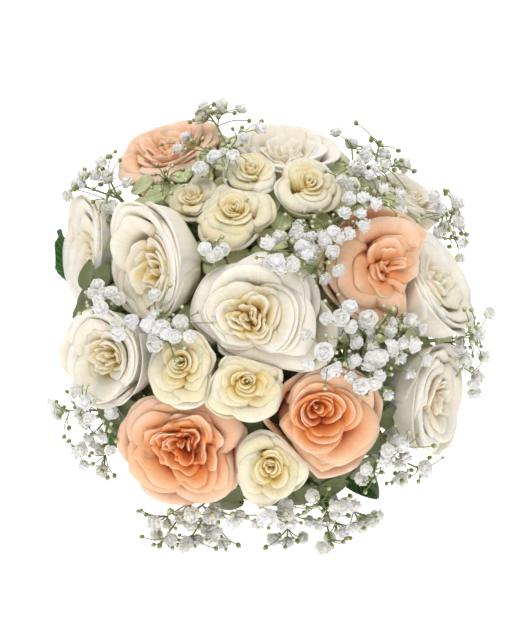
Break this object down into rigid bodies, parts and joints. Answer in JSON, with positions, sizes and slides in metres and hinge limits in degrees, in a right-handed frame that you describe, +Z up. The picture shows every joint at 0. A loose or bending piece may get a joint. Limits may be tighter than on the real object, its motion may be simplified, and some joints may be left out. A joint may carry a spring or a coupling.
{
  "type": "bridal bouquet",
  "caption": "Round bridal bouquet of white and peach garden roses, cream spray roses and gypsophila, with bound stems and a ribbon-wrapped handle, lying on its side.",
  "frame": {"origin": "on the table, under the middle of the bouquet's bounding box as it lies", "axes": "+Z up from the table, -Y the side that the flowers face, +X to the right as seen from that side"},
  "size_m": [0.2828, 0.3416, 0.2734],
  "materials": {
    "white_petal": "soft white to cream rose petals",
    "peach_petal": "soft peach rose petals",
    "cream_petal": "soft cream rose petals",
    "green_stem": "fresh green stems",
    "white_floret": "matt white florets on green twigs",
    "dark_leaf": "dark green, slightly glossy leaves",
    "satin_ribbon": "cream satin",
    "binding_tape": "matt green florist's tape"
  },
  "bodies": {
    "root": {"rose_white_1": "white_petal", "rose_white_2": "white_petal", "rose_white_3": "white_petal", "rose_white_4": "white_petal", "rose_white_5": "white_petal", "rose_white_6": "white_petal", "rose_white_7": "white_petal", "rose_white_8": "white_petal", "rose_peach_1": "peach_petal", "rose_peach_2": "peach_petal", "rose_peach_3": "peach_petal", "rose_peach_4": "peach_petal", "spray_rose_1": "cream_petal", "spray_rose_2": "cream_petal", "spray_rose_3": "cream_petal", "spray_rose_4": "cream_petal", "spray_rose_5": "cream_petal", "spray_rose_6": "cream_petal", "spray_rose_7": "cream_petal", "stem_white_1": "green_stem", "stem_white_2": "green_stem", "stem_white_3": "green_stem", "stem_white_4": "green_stem", "stem_white_5": "green_stem", "stem_white_6": "green_stem", "stem_white_7": "green_stem", "stem_white_8": "green_stem", "stem_peach_1": "green_stem", "stem_peach_2": "green_stem", "stem_peach_3": "green_stem", "stem_peach_4": "green_stem", "stem_spray_1": "green_stem", "stem_spray_2": "green_stem", "stem_spray_3": "green_stem", "stem_spray_4": "green_stem", "stem_spray_5": "green_stem", "stem_spray_6": "green_stem", "stem_spray_7": "green_stem", "gypsophila_1": "white_floret", "gypsophila_2": "white_floret", "gypsophila_3": "white_floret", "gypsophila_4": "white_floret", "gypsophila_5": "white_floret", "gypsophila_6": "white_floret", "gypsophila_7": "white_floret", "gypsophila_8": "white_floret", "gypsophila_9": "white_floret", "gypsophila_10": "white_floret", "gypsophila_11": "white_floret", "gypsophila_12": "white_floret", "leaf_1": "dark_leaf", "leaf_2": "dark_leaf", "leaf_3": "dark_leaf", "leaf_4": "dark_leaf", "leaf_5": "dark_leaf", "leaf_6": "dark_leaf", "leaf_7": "dark_leaf", "ribbon_wrap": "satin_ribbon", "binding_tape": "binding_tape"}
  },
  "joints": []
}
